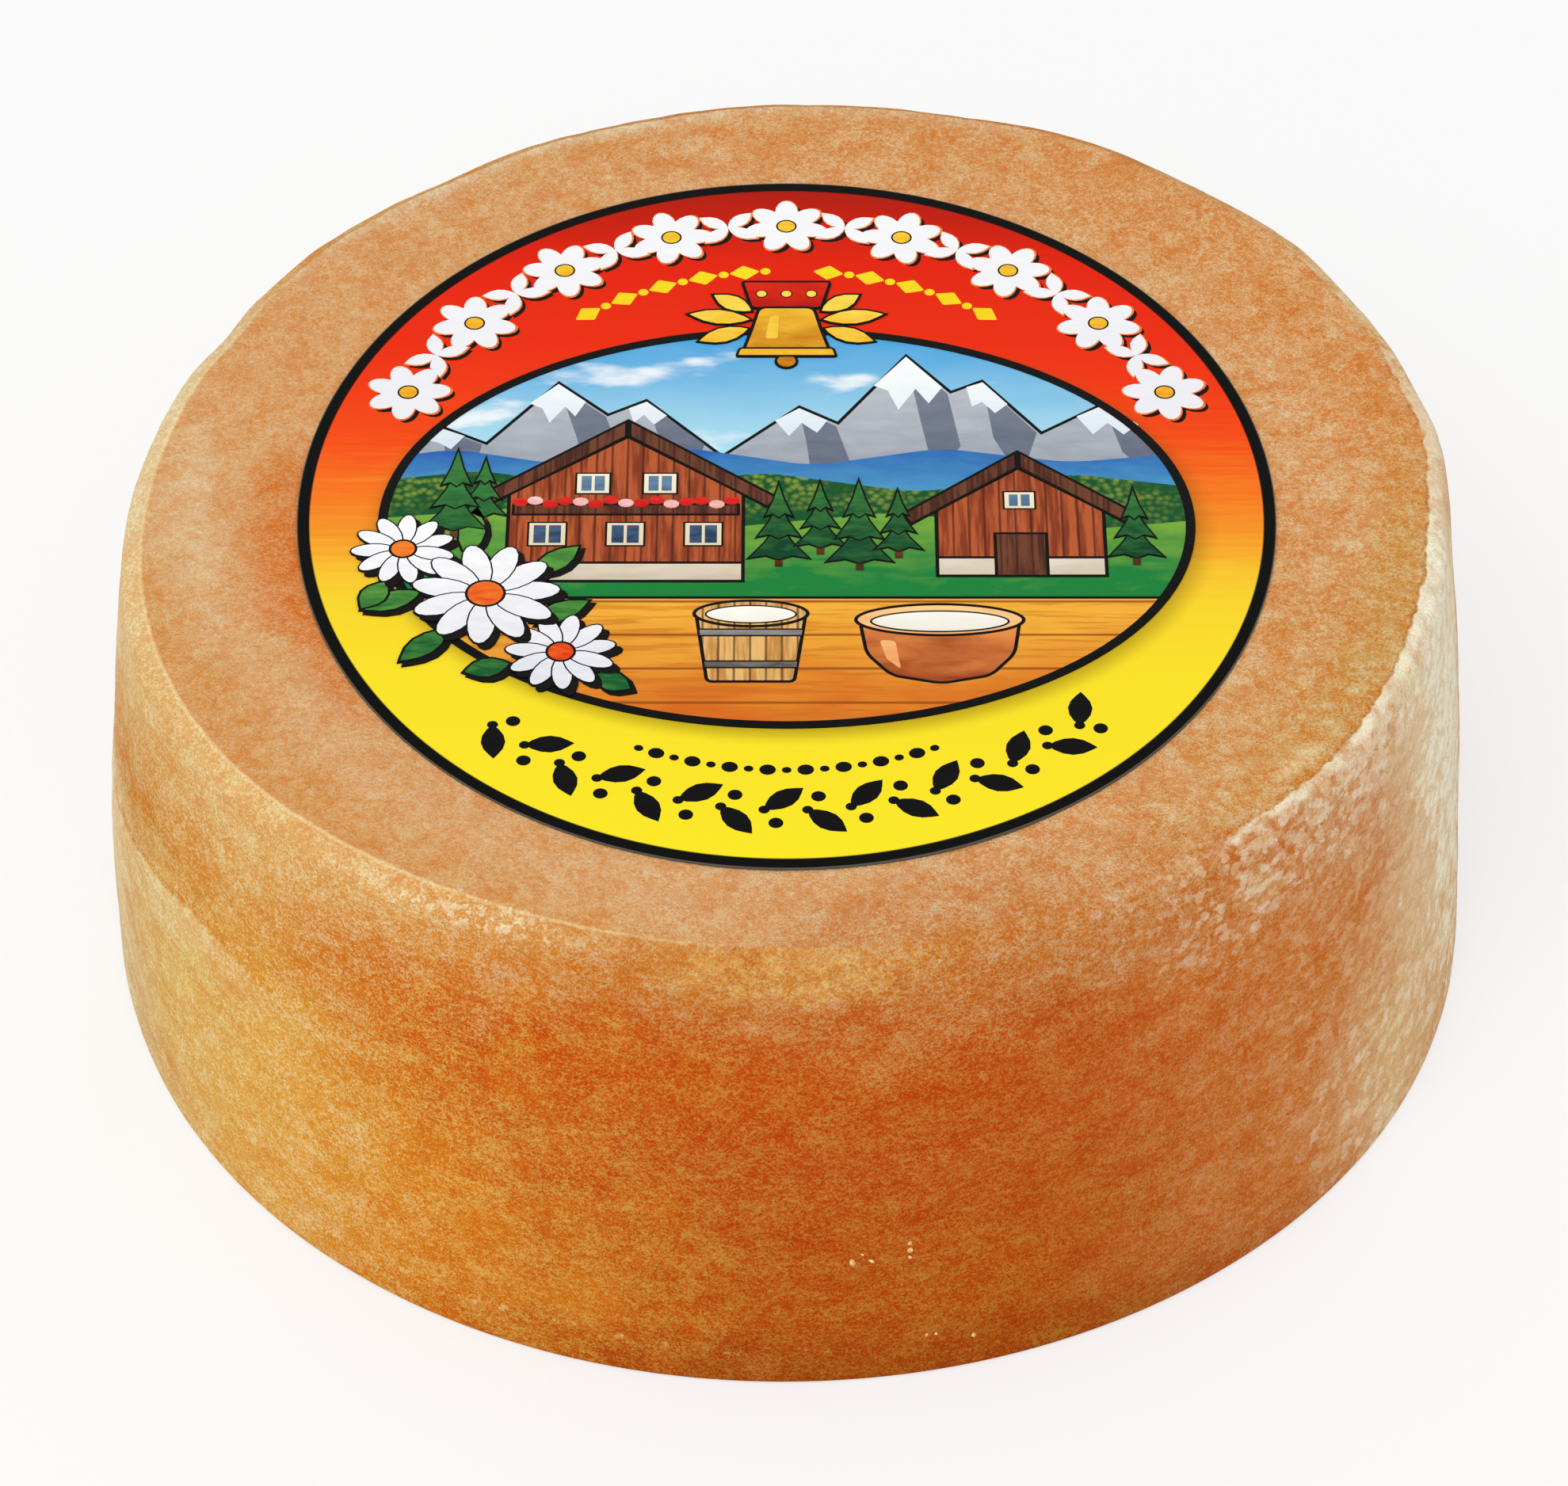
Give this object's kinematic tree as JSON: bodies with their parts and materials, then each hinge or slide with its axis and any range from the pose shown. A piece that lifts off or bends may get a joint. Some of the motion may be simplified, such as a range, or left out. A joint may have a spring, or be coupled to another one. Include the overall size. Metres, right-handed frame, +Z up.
{
  "type": "tete de moine half wheel",
  "caption": "Half wheel of washed-rind mountain cheese, cut level and lying on the cut, with a printed paper label on its face; food for shaving into rosettes.",
  "frame": {"origin": "centre of the level cut that the half wheel lies on", "axes": "+Z up out of the cut, through the wheel's face and its label; -Y is the front, from which the label reads upright; +X is to the right of that"},
  "size_m": [0.11, 0.11, 0.0402],
  "materials": {
    "cheese": "mottled salmon and ochre washed rind, ivory paste on the cut",
    "label_paper": "satin printed paper"
  },
  "bodies": {
    "root": {"cheese_half_wheel": "cheese", "paper_label": "label_paper"}
  },
  "joints": []
}
